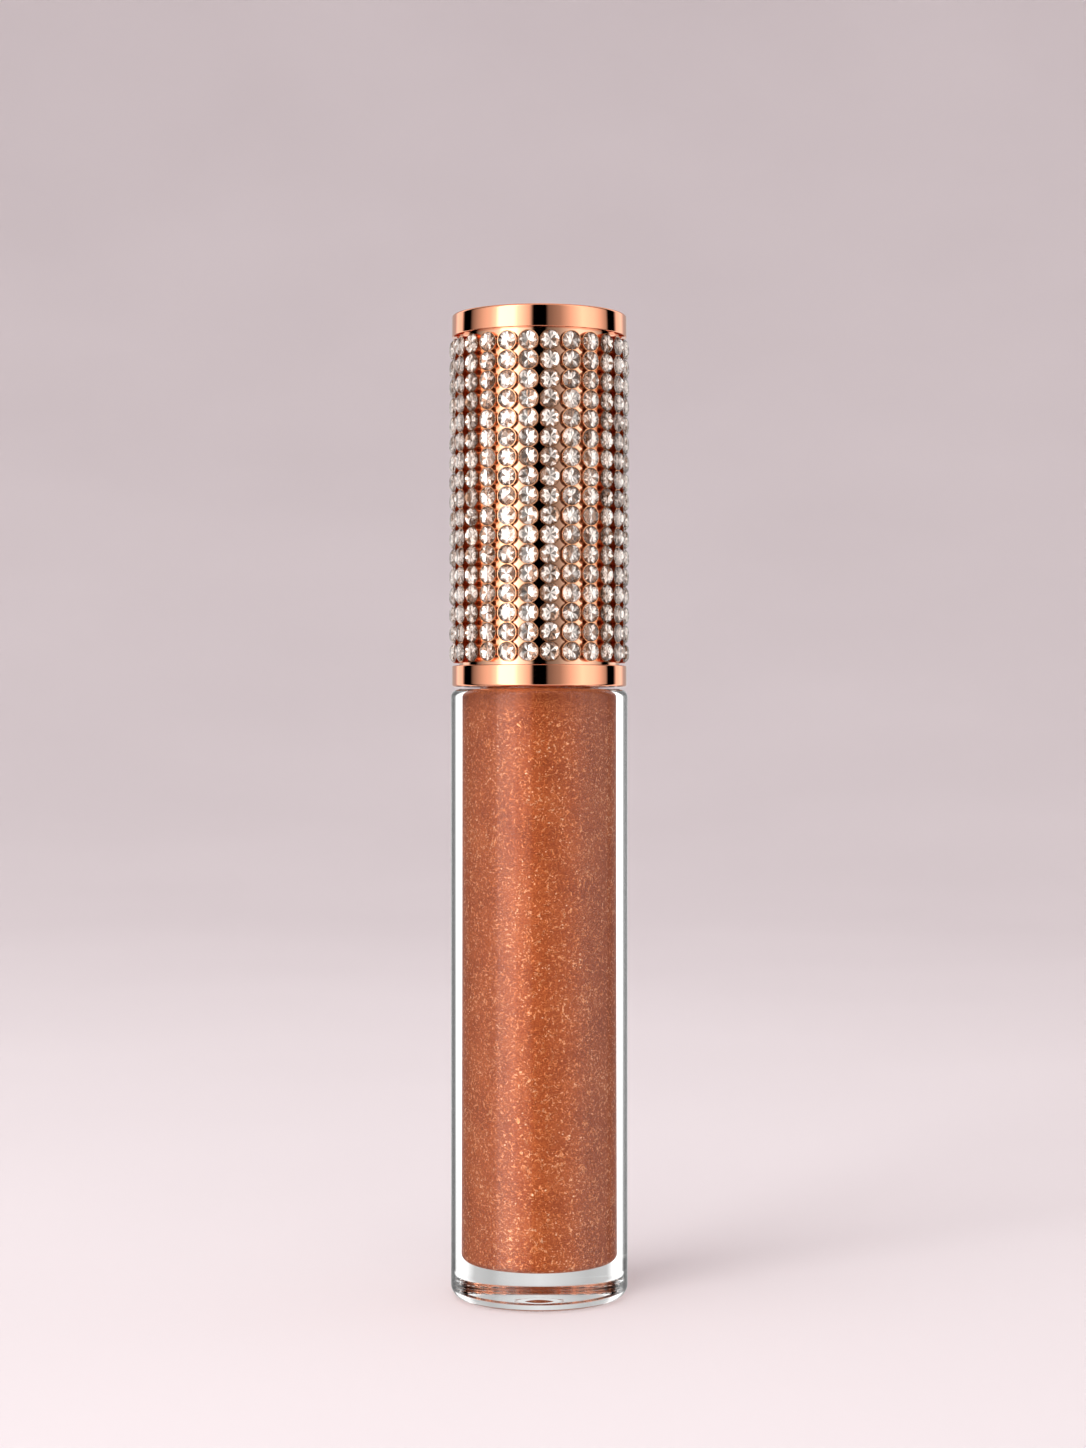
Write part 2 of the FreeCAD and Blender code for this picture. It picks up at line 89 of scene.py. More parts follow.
COLUMNS = sum(name.startswith("crystals_") for name in nodes)
ROWS = 17
STONE_R = 1.01 * MM
TABLE_AT = BAND_R + 0.27 * MM
CROWN = 0.36 * MM
GIRDLE = 0.06 * MM
PAVILION = 0.14 * MM
SEATING = 0.015 * MM  # so that a stone that sits a little tilted stays under the cap's outline
TABLE_R = 0.6 * MM
STAR_R = 0.82 * MM  # where the star and kite facets meet
LOWER_R = 0.5 * MM  # where the facets under the girdle meet
STONE_FIT = 0.995  # a stone's share of its place, so that neighbours never touch
SPIN_SPREAD = 0.05  # radians
TILT_LIMIT = math.radians(1.2)
CLEAR, SILVER, COPPER_REFLECTION = 0, 1, 2  # a stone's material slots: its cut glass, its silver foil, and a dark copper foil whose colour is painted reflection
FOIL_SWAP = 0.25  # how often a pair of facets shows the other foil


# ---------------------------------------------------------------- mesh helpers
def make_object(name, vertices, faces, smooth=True, sharp=None):
    mesh = bpy.data.meshes.new(name)
    mesh.from_pydata([tuple(v) for v in vertices], [], faces)
    mesh.validate()
    for polygon in mesh.polygons:
        polygon.use_smooth = smooth
    if sharp is not None:
        mesh.set_sharp_from_angle(angle=math.radians(sharp))
    mesh.update()
    thing = bpy.data.objects.new(name, mesh)
    bpy.context.scene.collection.objects.link(thing)
    return thing


def arc(centre_r, centre_z, radius, start, end, steps):
    """Points (r, z) on a round, with angles in degrees from +r towards +z."""
    turns = np.radians(np.linspace(start, end, steps + 1))
    return [(centre_r + radius * math.cos(a), centre_z + radius * math.sin(a)) for a in turns]


def lathe(name, profile, segments=192, sharp=35, bulge=None):
    """A closed solid of revolution. bulge(angle, r, z) may add to each radius."""
    rings = []
    vertices = []
    faces = []
    for r, z in profile:
        if r < 1e-9:
            rings.append([len(vertices)])
            vertices.append((0, 0, z))
            continue
        ring = []
        for k in range(segments):
            angle = 2 * math.pi * k / segments
            radius = r + (bulge(angle, r, z) if bulge else 0)
            ring.append(len(vertices))
            vertices.append((radius * math.cos(angle), radius * math.sin(angle), z))
        rings.append(ring)
    closed = len(rings[0]) > 1
    pairs = list(zip(rings, rings[1:] + rings[:1] if closed else rings[1:]))
    for a, b in pairs:
        for k in range(segments):
            n = (k + 1) % segments
            if len(a) == 1 and len(b) == 1:
                break
            if len(a) == 1:
                faces.append((a[0], b[n], b[k]))
            elif len(b) == 1:
                faces.append((a[k], a[n], b[0]))
            else:
                faces.append((a[k], a[n], b[n], b[k]))
    return make_object(name, vertices, faces, sharp=sharp)


def place(piece, body, slot, material, *replaced):
    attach(piece, body)
    if replaced:
        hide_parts(*replaced)
    piece.data.materials.clear()
    piece.data.materials.append(material)
    return piece


# ---------------------------------------------------------------- material helpers
class Patterns:
    """An empty material, with short calls for the pattern nodes in it."""

    def __init__(self, name):
        self.material = bpy.data.materials.new(name)
        self.material.use_nodes = True
        self.tree = self.material.node_tree
        self.tree.nodes.clear()
        self.output = self.tree.nodes.new("ShaderNodeOutputMaterial")
        self.coordinates = self.tree.nodes.new("ShaderNodeTexCoord").outputs["Object"]

    def link(self, source, target):
        self.tree.links.new(source, target)

    def separate(self, kind, value):
        """The parts of a colour ("Color") or a place ("XYZ")."""
        node = self.tree.nodes.new(f"ShaderNodeSeparate{kind}")
        self.link(value, node.inputs[0])
        return node.outputs

    def noise(self, scale, detail=2.0, rough=0.5, distortion=0.0, vector=None):
        node = self.tree.nodes.new("ShaderNodeTexNoise")
        node.inputs["Scale"].default_value = scale
        node.inputs["Detail"].default_value = detail
        node.inputs["Roughness"].default_value = rough
        node.inputs["Distortion"].default_value = distortion
        self.link(vector or self.coordinates, node.inputs["Vector"])
        return node.outputs["Fac"]

    def voronoi(self, scale, feature="F1"):
        node = self.tree.nodes.new("ShaderNodeTexVoronoi")
        node.feature = feature
        node.inputs["Scale"].default_value = scale
        self.link(self.coordinates, node.inputs["Vector"])
        return node

    def maths(self, operation, a, b=0.0, clamp=False):
        node = self.tree.nodes.new("ShaderNodeMath")
        node.operation = operation
        node.use_clamp = clamp
        for socket, value in zip(node.inputs, (a, b)):
            if isinstance(value, (int, float)):
                socket.default_value = value
            else:
                self.link(value, socket)
        return node.outputs[0]

    def spread(self, value, low, high, to_low=0.0, to_high=1.0):
        node = self.tree.nodes.new("ShaderNodeMapRange")
        node.inputs["From Min"].default_value = low
        node.inputs["From Max"].default_value = high
        node.inputs["To Min"].default_value = to_low
        node.inputs["To Max"].default_value = to_high
        self.link(value, node.inputs["Value"])
        return node.outputs["Result"]

    def ramp(self, value, *stops):
        node = self.tree.nodes.new("ShaderNodeValToRGB")
        ramp = node.color_ramp
        while len(ramp.elements) < len(stops):
            ramp.elements.new(0.5)
        for element, (at, colour) in zip(ramp.elements, stops):
            element.position = at
            element.color = (*colour, 1.0)
        self.link(value, node.inputs["Fac"])
        return node.outputs["Color"]

    def bump(self, height, distance, strength=1.0):
        node = self.tree.nodes.new("ShaderNodeBump")
        node.inputs["Strength"].default_value = strength
        node.inputs["Distance"].default_value = distance
        self.link(height, node.inputs["Height"])
        return node.outputs["Normal"]

    def stretched(self, x, y, z):
        node = self.tree.nodes.new("ShaderNodeMapping")
        node.inputs["Scale"].default_value = (x, y, z)
        self.link(self.coordinates, node.inputs["Vector"])
        return node.outputs["Vector"]

    def turned_off_grid(self):
        """Object coordinates turned so that a noise's own grid lies along no face."""
        node = self.tree.nodes.new("ShaderNodeMapping")
        node.inputs["Rotation"].default_value = (0.61, 0.37, 0.83)
        node.inputs["Location"].default_value = (0.0131, 0.0077, 0.0053)
        self.link(self.coordinates, node.inputs["Vector"])
        return node.outputs["Vector"]


class Shader(Patterns):
    """A material with one Principled shader."""

    def __init__(self, name, **values):
        super().__init__(name)
        self.main = self.tree.nodes.new("ShaderNodeBsdfPrincipled")
        for key, value in values.items():
            socket = self.main.inputs[key.replace("_", " ")]
            socket.default_value = (*value, 1.0) if isinstance(value, tuple) and len(value) == 3 else value
        self.link(self.main.outputs["BSDF"], self.output.inputs["Surface"])

    def into(self, socket, source):
        self.link(source, self.main.inputs[socket])


def clear_to_lamps(shader):
    """Lets the lamps' light through, as clear glass does, without waiting for a lucky path."""
    tree = shader.tree
    path = tree.nodes.new("ShaderNodeLightPath")
    open_way = tree.nodes.new("ShaderNodeBsdfTransparent")
    mix = tree.nodes.new("ShaderNodeMixShader")
    shader.link(path.outputs["Is Shadow Ray"], mix.inputs["Fac"])
    shader.link(shader.main.outputs["BSDF"], mix.inputs[1])
    shader.link(open_way.outputs["BSDF"], mix.inputs[2])
    shader.link(mix.outputs["Shader"], shader.output.inputs["Surface"])


def bottle_material():
    shader = Shader(
        "clear_bottle", Base_Color=(0.99, 0.99, 0.985), Roughness=0.0, IOR=1.5, Transmission_Weight=1.0,
        Specular_Tint=(0.45, 0.45, 0.45)
    )
    swell = shader.noise(90, 1.0, vector=shader.stretched(1, 1, 0.25))
    shader.into("Normal", shader.bump(swell, 0.01 * MM, 0.15))
    clear_to_lamps(shader)
    return shader.material


def gloss_material():
    """Copper pearl: short curled streaks of pearl, fine grain and scattered bright flakes, with painted
    shade under the cap.
    """
    shader = Shader("copper_shimmer", IOR=1.45)
    field = shader.noise(1350, 1.6, 0.55, 1.4, shader.turned_off_grid())
    lines = shader.maths("SINE", shader.maths("MULTIPLY", field, 26.0))
    curls = shader.spread(lines, 0.1, 0.9)
    patches = shader.spread(shader.noise(3000, 1.0), 0.42, 0.58)
    height = shader.separate("XYZ", shader.coordinates)["Z"]
    # painted shade: over the top few millimetres, under the cap, the curls and flakes fade out, so the
    # gloss there is plainer and darker
    painted_cap_shade_fade = shader.spread(height, BODY_TOP - 0.6 * MM, BODY_TOP - 3.2 * MM)
    worms = shader.maths("MULTIPLY", shader.maths("MULTIPLY", curls, patches), painted_cap_shade_fade)
    grain = shader.noise(6500, 2.0, 0.6)
    clouds = shader.noise(240, 3.0, 0.6)
    tone = shader.maths("MULTIPLY", worms, 0.27)
    for part, share in ((clouds, 0.25), (grain, 0.5)):
        tone = shader.maths("ADD", tone, shader.maths("MULTIPLY", part, share))
    flakes = shader.voronoi(3300)
    near = shader.spread(flakes.outputs["Distance"], 0.14, 0.32, 1.0, 0.0)
    chosen = shader.spread(shader.separate("Color", flakes.outputs["Color"])["Red"], 0.8, 1.0)
    sparks = shader.maths("MULTIPLY", near, chosen)
    sparks = shader.maths("MULTIPLY", sparks, painted_cap_shade_fade)
    tone = shader.maths("ADD", tone, shader.maths("MULTIPLY", sparks, 0.5))
    colour = shader.ramp(
        tone,
        (0.24, (0.24, 0.038, 0.007)),
        (0.4, (0.45, 0.09, 0.02)),
        (0.58, (0.72, 0.22, 0.07)),
        (0.9, (1.0, 0.74, 0.52)),
    )
    shader.into("Base Color", colour)
    shader.into("Roughness", shader.spread(worms, 0.0, 1.0, 0.5, 0.28))
    shader.into("Metallic", shader.spread(worms, 0.0, 1.0, 0.55, 0.8))
    relief = shader.maths("ADD", worms, shader.maths("MULTIPLY", grain, 0.8))
    shader.into("Normal", shader.bump(relief, 0.03 * MM, 1.0))
    return shader.material


def rose_gold_material(name, roughness, colour=(0.87, 0.365, 0.215)):
    """Mirror plating, with the faint haze and hairlines of handling."""
    shader = Shader(name, Base_Color=colour, Metallic=1.0)
    haze = shader.noise(260, 3.0, 0.6)
    hairs = shader.noise(900, 2.0, 0.5, vector=shader.stretched(1, 1, 14))
    mixed = shader.maths("ADD", haze, shader.maths("MULTIPLY", shader.spread(hairs, 0.6, 0.75), 0.5))
    shader.into("Roughness", shader.spread(mixed, 0.3, 1.2, roughness, roughness + 0.06))
    shader.into("Normal", shader.bump(hairs, 0.002 * MM, 0.15))
    return shader.material


def crystal_material():
    shader = Shader(
        "crystal_glass", Base_Color=(0.97, 0.965, 0.96), Roughness=0.0, IOR=1.55, Transmission_Weight=1.0
    )
    film = shader.noise(1400, 2.0)
    shader.into("Roughness", shader.spread(film, 0.5, 0.8, 0.0, 0.03))
    clear_to_lamps(shader)
    return shader.material


def foil_material(name, dark, light):
    """The mirror behind a stone, a little clouded by its glue."""
    shader = Shader(name, Metallic=0.8, Roughness=0.05)
    tint = shader.noise(1800, 2.0)
    shader.into("Base Color", shader.ramp(tint, (0.3, dark), (0.7, light)))
    return shader.material


def plastic_material(name, colour, shade, roughness, clearness=0.0, grain=900):
    """Moulded plastic: a slight mottle in colour and gloss, and a fine moulded skin."""
    shader = Shader(name, Subsurface_Weight=0.2, Subsurface_Scale=0.4 * MM, IOR=1.49)
    shader.main.inputs["Transmission Weight"].default_value = clearness
    mottle = shader.noise(grain, 3.0, 0.6)
    shader.into("Base Color", shader.ramp(mottle, (0.3, shade), (0.7, colour)))
    shader.into("Roughness", shader.spread(mottle, 0.3, 0.7, roughness, roughness + 0.12))
    shader.into("Normal", shader.bump(shader.noise(grain * 5, 2.0), 0.01 * MM, 0.25))
    return shader.material


def wand_material():
    """Milky plastic with a thin film of gloss left on the length that dips."""
    shader = Shader("wand_plastic", Subsurface_Weight=0.3, Subsurface_Scale=0.5 * MM, Coat_Weight=0.4)
    smears = shader.noise(420, 3.0, 0.6, vector=shader.stretched(1, 1, 0.2))
    dipped = shader.spread(shader.separate("XYZ", shader.coordinates)["Z"], 72 * MM, 20 * MM)
    film = shader.maths("MULTIPLY", shader.spread(smears, 0.4, 0.7), dipped, clamp=True)
    stops = ((0.0, (0.86, 0.84, 0.81)), (0.5, (0.83, 0.66, 0.54)), (1.0, (0.72, 0.4, 0.25)))
    shader.into("Base Color", shader.ramp(film, *stops))
    shader.into("Roughness", shader.spread(smears, 0.3, 0.7, 0.22, 0.34))
    return shader.material


def foam_material():
    shader = Shader("liner_foam", Roughness=0.9, Subsurface_Weight=0.3, Subsurface_Scale=0.3 * MM)
    cells = shader.voronoi(4200).outputs["Distance"]
    shader.into("Base Color", shader.ramp(cells, (0.0, (0.72, 0.71, 0.68)), (0.6, (0.93, 0.92, 0.9))))
    shader.into("Normal", shader.bump(cells, 0.05 * MM, 0.6))
    return shader.material


def steel_material():
    shader = Shader("turned_steel", Metallic=1.0, Anisotropic=0.5)
    rings = shader.noise(500, 2.0, vector=shader.stretched(0.4, 0.4, 30))
    shader.into("Base Color", shader.ramp(rings, (0.3, (0.5, 0.5, 0.51)), (0.7, (0.68, 0.68, 0.7))))
    shader.into("Roughness", shader.spread(rings, 0.3, 0.7, 0.24, 0.4))
    shader.into("Normal", shader.bump(rings, 0.01 * MM, 0.4))
    return shader.material


def wet_flock_material():
    """Pale nylon flock soaked in copper gloss."""
    shader = Shader("soaked_flock", Coat_Weight=0.5, Coat_Roughness=0.15, Sheen_Weight=0.2)
    soak = shader.noise(1500, 3.0, 0.6)
    stops = ((0.3, (0.36, 0.11, 0.04)), (0.6, (0.58, 0.23, 0.11)), (0.8, (0.85, 0.6, 0.46)))
    shader.into("Base Color", shader.ramp(soak, *stops))
    shader.into("Roughness", shader.spread(soak, 0.3, 0.7, 0.35, 0.6))
    shader.into("Normal", shader.bump(shader.noise(9000, 1.0), 0.04 * MM, 0.6))
    return shader.material


# ---------------------------------------------------------------- the bottle and its gloss
def thread_bulge(angle, r, z):
    """How far the neck's right-hand thread stands out at this angle and height."""
    if abs(r - NECK_R) > 1e-6 or not BODY_TOP < z < NECK_TOP:
        return 0.0
    best = 0.0
    for turn in range(int(THREAD_TURNS) + 1):
        along = angle / (2 * math.pi) + turn
        if along > THREAD_TURNS:
            continue
        off = abs(z - THREAD_START - THREAD_LEAD * along)
        rise = (THREAD_ROOT - off) / (THREAD_ROOT - THREAD_CREST)
        ends = min(along, THREAD_TURNS - along) / THREAD_FADE
        best = max(best, min(1.0, rise) * min(1.0, ends))
    return best * THREAD_HEIGHT


def build_bottle():
    sphere = (DIMPLE_R**2 + DIMPLE_DEPTH**2) / (2 * DIMPLE_DEPTH)
    reach = math.degrees(math.asin(DIMPLE_R / sphere))
    neck_rows = 96
    neck_end = NECK_TOP - NECK_CHAMFER
    shoulder_step = 7.4 * MM
    profile = arc(0, DIMPLE_DEPTH - sphere, sphere, 90, 90 - reach, 20)
    profile[0] = (0, DIMPLE_DEPTH)
    profile += [(r * MM, 0) for r in (2.0, 3.5, 5.5, 7.5)]
    profile += arc(BOTTLE_R - BASE_ROUND, BASE_ROUND, BASE_ROUND, -90, 0, 48)
    profile += [(BOTTLE_R, BASE_ROUND + (BODY_TOP - 2 * BASE_ROUND) * k / 8) for k in range(1, 8)]
    profile += arc(BOTTLE_R - SHOULDER_ROUND, BODY_TOP - SHOULDER_ROUND, SHOULDER_ROUND, 0, 90, 32)
    profile += [(shoulder_step, BODY_TOP), (NECK_R, BODY_TOP)]
    row_height = (neck_end - BODY_TOP) / neck_rows
    profile += [(NECK_R, BODY_TOP + row_height * k) for k in range(1, neck_rows + 1)]
    profile += [(NECK_R - NECK_CHAMFER, NECK_TOP), (CHAMBER_R, NECK_TOP)]
    floor = CHAMBER_FLOOR + CHAMBER_ROUND
    profile += [(CHAMBER_R, NECK_TOP + (floor - NECK_TOP) * k / 8) for k in range(1, 8)]
    profile += arc(CHAMBER_R - CHAMBER_ROUND, floor, CHAMBER_ROUND, 0, -90, 20)
    profile += [(2.5 * MM, CHAMBER_FLOOR), (0, CHAMBER_FLOOR)]
    bottle = lathe("bottle_glass", profile, 256, sharp=40, bulge=thread_bulge)
    return place(bottle, "bottle", "clear_glass", bottle_material(), "bottle")


def build_gloss():
    outer = CHAMBER_R + WETTING
    floor = CHAMBER_FLOOR - WETTING
    corner = CHAMBER_ROUND
    profile = [(0, floor), (2.5 * MM, floor)]
    profile += arc(outer - corner, floor + corner, corner, -90, 0, 20)
    profile += [(outer, floor + corner + (BODY_TOP - floor - corner) * k / 8) for k in range(1, 9)]
    profile += [(outer, FILL_TOP), (FILL_BORE_R, FILL_TOP), (FILL_BORE_R, FILL_WELL), (0, FILL_WELL)]
    gloss = lathe("gloss_body", profile, 192, sharp=40)
    return place(gloss, "bottle", "shimmer_gloss", gloss_material(), "gloss_fill")


# ---------------------------------------------------------------- the cap's shell
def build_top_cap(material):
    inner = SPIGOT_R - SPIGOT_WALL
    roof = CAP_TOP - TOP_WALL
    profile = [(0, roof), (inner, roof), (inner, SPIGOT_BASE)]
    profile += [(SPIGOT_R, SPIGOT_BASE), (SPIGOT_R, TUBE_TOP)]
    profile += arc(BAND_R - SEAM_ROUND, TUBE_TOP + SEAM_ROUND, SEAM_ROUND, -90, 0, 6)
    profile += arc(BAND_R - BAND_ROUND, CAP_TOP - BAND_ROUND, BAND_ROUND, 0, 90, 10)
    profile += [(6 * MM, CAP_TOP), (3 * MM, CAP_TOP), (0, CAP_TOP)]
    return place(lathe("top_cap_shell", profile, 256), "cap", "rose_gold_shell", material, "top_cap")


def build_bottom_ring(material):
    bore = TUBE_R + RING_SEAT_GAP
    profile = [(bore, RING_TOP), (bore, TUBE_BASE), (RING_LIP_R, TUBE_BASE), (RING_LIP_R, RING_BASE)]
    profile += arc(BAND_R - BAND_ROUND, RING_BASE + BAND_ROUND, BAND_ROUND, -90, 0, 10)
    profile += arc(BAND_R - SEAM_ROUND, RING_TOP - SEAM_ROUND, SEAM_ROUND, 0, 90, 6)
    return place(lathe("mouth_ring", profile, 256), "cap", "rose_gold_shell", material, "bottom_ring")


def build_tube(material):
    steps = 8
    outer = [(TUBE_R, TUBE_BASE + (TUBE_TOP - TUBE_BASE) * k / steps) for k in range(steps + 1)]
    inner = [(TUBE_BORE_R, z) for _, z in reversed(outer)]
    return place(lathe("waist_tube", outer + inner, 256), "cap", "rose_gold_shell", material, "cap_tube")


# ---------------------------------------------------------------- the stones
def brilliant():
    """A round brilliant about +x: its points, its clear facets, and the facets for its silver foil and for
    its dark copper foil, which is painted reflection.
    """
    eighth = math.pi / 4
    drop = math.cos(eighth / 2)
    star_height = CROWN * (STONE_R - STAR_R * drop) / (STONE_R - TABLE_R)
    lower_depth = PAVILION * (1.12 - LOWER_R * drop / STONE_R)

    def ring(radius, height, count, turn=0.0):
        angles = [turn + 2 * math.pi * k / count for k in range(count)]
        return [(height, radius * math.cos(a), radius * math.sin(a)) for a in angles]

    points = ring(TABLE_R, GIRDLE + CROWN, 8)
    points += ring(STAR_R, GIRDLE + star_height, 8, eighth / 2)
    points += ring(STONE_R, GIRDLE, 16)
    points += ring(STONE_R, 0, 16)
    points += ring(LOWER_R, -lower_depth, 8, eighth / 2)
    points += [(-PAVILION, 0, 0)]
    table, star, upper, under, lower, culet = 0, 8, 16, 32, 48, 56
    crown = [tuple(range(8))]
    mains, halves = [], []
    for k in range(8):
        n, p = (k + 1) % 8, (k - 1) % 8
        crown.append((table + n, table + k, star + k))
        crown.append((table + k, star + p, upper + 2 * k, star + k))
        crown.append((star + k, upper + 2 * k, upper + 2 * k + 1))
        crown.append((star + k, upper + 2 * k + 1, upper + (2 * k + 2) % 16))
        mains.append((culet, lower + k, under + 2 * k))
        mains.append((culet, under + 2 * k, lower + p))
        halves.append((lower + k, under + 2 * k + 1, under + 2 * k))
        halves.append((lower + k, under + (2 * k + 2) % 16, under + 2 * k + 1))
    for k in range(16):
        n = (k + 1) % 16
        crown.append((upper + k, under + k, under + n, upper + n))
    return np.array(points), crown, mains, halves


def turn_matrix(axis, angle):
    c, s = math.cos(angle), math.sin(angle)
    if axis == "x":
        return np.array([[1, 0, 0], [0, c, -s], [0, s, c]])
    if axis == "y":
        return np.array([[c, 0, s], [0, 1, 0], [-s, 0, c]])
    return np.array([[c, -s, 0], [s, c, 0], [0, 0, 1]])


def build_crystals():
    points, *cuts = brilliant()
    clear = crystal_material()
    silver = foil_material("silver_foil", (0.76, 0.63, 0.56), (0.96, 0.87, 0.81))
    # painted reflection: the dark copper foil, mostly on the lower half facets, paints dark brown
    # reflections into the stones
    copper = foil_material("copper_foil_painted_reflection", (0.16, 0.085, 0.05), (0.36, 0.21, 0.14))
    girdle_at = TABLE_AT - CROWN - GIRDLE - SEATING
    for column in range(1, COLUMNS + 1):
        name = f"crystals_{column:02d}"
        bottom, top = (corner.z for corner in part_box(name))
        pitch = (top - bottom - 2 * STONE_R) / (ROWS - 1)
        angle = math.radians(-90 + (column - 0.5) * 360 / COLUMNS)
        vertices, faces, kinds = [], [], []
        for row in range(ROWS):
            spin = turn_matrix("x", rng.choice((0, 1)) * math.pi / 8 + rng.gauss(0, SPIN_SPREAD))
            tilt = turn_matrix("y", rng.uniform(-TILT_LIMIT, TILT_LIMIT))
            yaw = turn_matrix("z", rng.uniform(-TILT_LIMIT, TILT_LIMIT))
            stone = points @ (yaw @ tilt @ spin).T * STONE_FIT
            stone = stone + (girdle_at, 0, bottom + STONE_R + row * pitch)
            stone = stone @ turn_matrix("z", angle).T
            first = len(vertices)
            vertices += [tuple(p) for p in stone]
            for kind, facets in enumerate(cuts):
                faces += [tuple(first + i for i in facet) for facet in facets]
                if kind == CLEAR:
                    kinds += [CLEAR] * len(facets)
                    continue
                for _ in range(len(facets) // 2):
                    kinds += [SILVER + COPPER_REFLECTION - kind if rng.random() < FOIL_SWAP else kind] * 2
        stones = make_object(f"stones_{column:02d}", vertices, faces, smooth=False)
        place(stones, "cap", "crystal", clear, name)
        stones.data.materials.append(silver)
        stones.data.materials.append(copper)
        stones.data.polygons.foreach_set("material_index", kinds)
        stones.data.update()


# ---------------------------------------------------------------- the applicator
def build_applicator():
    """The doe-foot with its flock: short fibres that stand out all over it."""
    source = nodes["applicator"].data
    vertices = [tuple(v.co) for v in source.vertices]
    faces = [tuple(p.vertices) for p in source.polygons]
    source.calc_loop_triangles()
    triangles = list(source.loop_triangles)
    stem_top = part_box("applicator")[1].z
    fibre, width = 0.13 * MM, 0.02 * MM
    fibres, lean_spread = 5200, 0.3
    tang_reach, tang_depth, top_face = 1.0 * MM, 5.2 * MM, 0.02 * MM
    areas = [t.area for t in triangles]
    picks = rng.choices(range(len(triangles)), weights=areas, k=fibres)
    for pick in picks:
        triangle = triangles[pick]
        a, b, c = (source.vertices[i].co for i in triangle.vertices)
        u, v = rng.random(), rng.random()
        if u + v > 1:
            u, v = 1 - u, 1 - v
        root = a + (b - a) * u + (c - a) * v
        normal = triangle.normal
        near_axis = math.hypot(root.x, root.y) < tang_reach and normal.z > -0.5
        if near_axis and root.z > stem_top - tang_depth or root.z > stem_top - top_face:
            continue
        lean = Vector([rng.gauss(0, lean_spread) for _ in range(3)])
        tip = root + (normal + lean).normalized() * fibre * rng.uniform(0.6, 1.0)
        side = normal.orthogonal().normalized() * width
        other = normal.cross(side)
        first = len(vertices)
        corners = (root + side, root - side / 2 + other, root - side / 2 - other, tip)
        vertices += [tuple(corner) for corner in corners]
        faces += [(first + k, first + (k + 1) % 3, first + 3) for k in range(3)]
    foot = make_object("doe_foot", vertices, faces, sharp=45)
    return place(foot, "cap", "applicator_flock", wet_flock_material(), "applicator")


# ---------------------------------------------------------------- stage, lights and camera
def build_floor():
    """A pale cove that is round, so that it looks the same from every side."""
    flat, rise, wall = 0.5, 1.3, 1.9
    profile = [(0, 0), (0.1, 0), (0.3, 0)] + arc(flat, rise, rise, -90, 0, 48) + [(flat + rise, wall)]
    floor = lathe("studio_floor", profile, 96, sharp=180)
    shader = Shader("pale_floor", Roughness=0.9, Specular_IOR_Level=0.0)
    stops = ((0.3, (0.74, 0.69, 0.7)), (0.7, (0.77, 0.72, 0.73)))
    shader.into("Base Color", shader.ramp(shader.noise(6), *stops))
    floor.data.materials.append(shader.material)
    floor.visible_glossy = False
    floor.visible_transmission = False


# How bright the light tent is round the object: degrees from the front, and strength.
TENT = (
    (-180, 0.8), (-158, 0.5), (-143, 0.6), (-134, 1.5), (-121, 1.3), (-116, 0.1), (-114, 0.0),
    (-101, 0.0), (-96, 0.3),
    (-77, 1.0), (-66, 1.3), (-58, 2.0), (-53, 4.0), (-33, 3.8), (-28, 2.4), (-12, 1.0),
    (-8, 0.0), (9, 0.0), (12, 0.25), (27, 0.5), (40, 1.1), (58, 2.0), (76, 1.6), (97, 0.6),
    (101, 0.0), (114, 0.0), (116, 0.2), (121, 1.3), (134, 1.5), (146, 0.6), (158, 0.5), (180, 0.8),
)
TENT_TOP_STRENGTH = 5.0
LAMP_AIM_HEIGHT = 0.05


def build_tent():
    """A round tent of soft light with dark flags, seen only in the object and on the floor."""
    radius, bottom, top = 0.62, -0.6, 0.95
    vertices, faces = [], []
    segments = 180
    for k in range(segments):
        angle = 2 * math.pi * k / segments
        for z in (bottom, top):
            vertices.append((radius * math.cos(angle), radius * math.sin(angle), z))
        n = (k + 1) % segments
        faces.append((2 * k, 2 * k + 1, 2 * n + 1, 2 * n))
    tent = make_object("light_tent", vertices, faces)
    glow = Patterns("tent_glow")
    place_in = glow.separate("XYZ", glow.coordinates)
    towards = glow.maths("MULTIPLY", place_in["Y"], -1.0)
    azimuth = glow.maths("ARCTAN2", place_in["X"], towards)
    along = glow.spread(azimuth, -math.pi, math.pi)
    stops = [((at + 180) / 360, (value / TENT_TOP_STRENGTH,) * 3) for at, value in TENT]
    light = glow.tree.nodes.new("ShaderNodeEmission")
    light.inputs["Strength"].default_value = TENT_TOP_STRENGTH
    glow.link(glow.ramp(along, *stops), light.inputs["Color"])
    glow.link(light.outputs["Emission"], glow.output.inputs["Surface"])
    tent.data.materials.append(glow.material)
    tent.visible_camera = False
    tent.visible_shadow = False
    tent.visible_diffuse = False


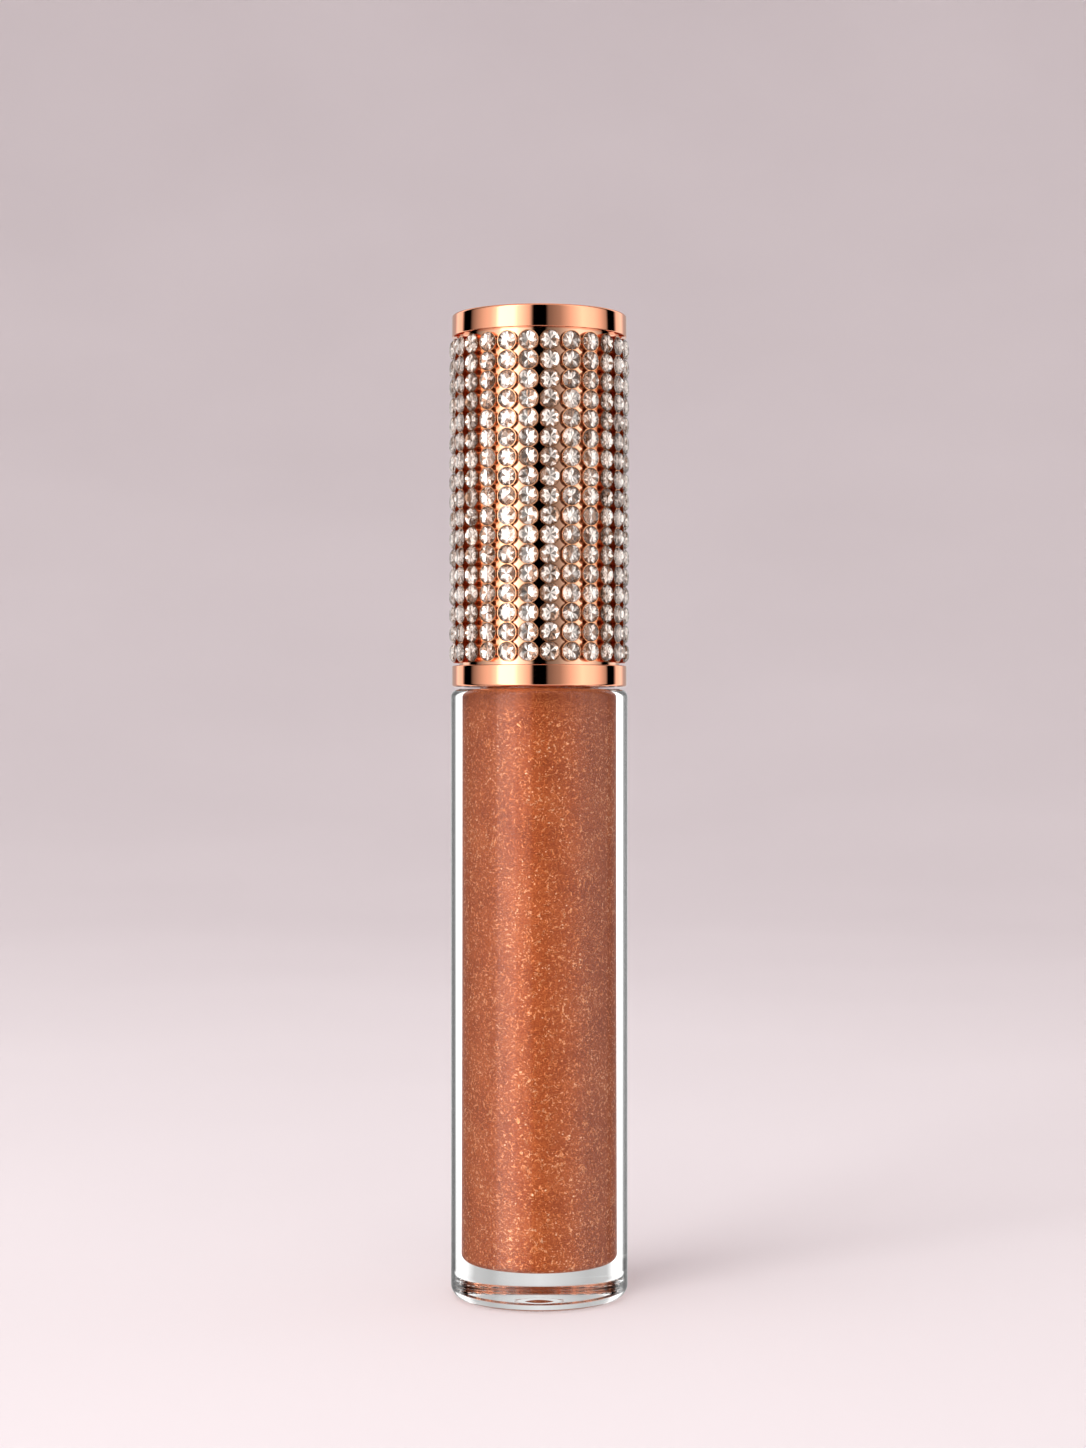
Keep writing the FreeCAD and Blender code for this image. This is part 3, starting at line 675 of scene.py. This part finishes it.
def build_lights():
    build_tent()
    for name, at, size, power in (
        ("overhead", (-0.2, -0.3, 0.9), 0.6, 3.6),
        ("left_lamp", (-0.5, -0.55, 0.5), 0.4, 3.4),
    ):
        lamp = bpy.data.lights.new(name, "AREA")
        lamp.shape = "SQUARE"
        lamp.size = size
        lamp.energy = power
        thing = bpy.data.objects.new(name, lamp)
        thing.location = at
        aim = Vector((0, 0, LAMP_AIM_HEIGHT)) - Vector(at)
        thing.rotation_euler = aim.to_track_quat("-Z", "Y").to_euler()
        thing.visible_camera = False
        thing.visible_glossy = False
        thing.visible_transmission = False
        bpy.context.scene.collection.objects.link(thing)
    world = bpy.data.worlds.new("studio")
    world.use_nodes = True
    back = world.node_tree.nodes["Background"]
    back.inputs["Color"].default_value = (1.0, 0.94, 0.95, 1)
    back.inputs["Strength"].default_value = 0.86
    bpy.context.scene.world = world


def build_camera():
    """Level with the middle of the tube, 290 mm away, and tipped down a hair."""
    lens = bpy.data.cameras.new("camera")
    lens.lens = 67.0
    lens.sensor_width = 36.0
    lens.clip_start = 0.01
    camera = bpy.data.objects.new("camera", lens)
    camera.location = (0.4 * MM, -290 * MM, 62.4 * MM)
    camera.rotation_euler = (math.radians(90 - 0.19), 0, 0)
    bpy.context.scene.collection.objects.link(camera)
    bpy.context.scene.camera = camera


build_camera()
build_bottle()
build_gloss()
mirror = rose_gold_material("rose_gold_mirror", 0.03)
build_top_cap(mirror)
build_bottom_ring(mirror)
# painted shade: the waist tube gets a darker copy of the rose gold plating, standing in for the shade that
# the stones cast on it
build_tube(rose_gold_material("rose_gold_waist_shaded", 0.05, (0.74, 0.4, 0.26)))
build_crystals()
build_applicator()
cad_materials = {
    "setting_strips": rose_gold_material("rose_gold_cups", 0.2, (0.66, 0.32, 0.17)),
    "inner_cap": plastic_material("white_liner", (0.9, 0.9, 0.89), (0.82, 0.82, 0.81), 0.35),
    "wand": wand_material(),
    "wiper": plastic_material("wiper_plastic", (0.9, 0.89, 0.86), (0.8, 0.78, 0.74), 0.3, 0.5),
    "gasket": foam_material(),
    "weight": steel_material(),
}
for node, material in cad_materials.items():
    nodes[node].data.materials.clear()
    nodes[node].data.materials.append(material)
build_floor()
build_lights()

cycles = bpy.context.scene.cycles
cycles.max_bounces = 24
cycles.glossy_bounces = 12
cycles.transmission_bounces = 20
bpy.context.scene.view_settings.view_transform = "Standard"
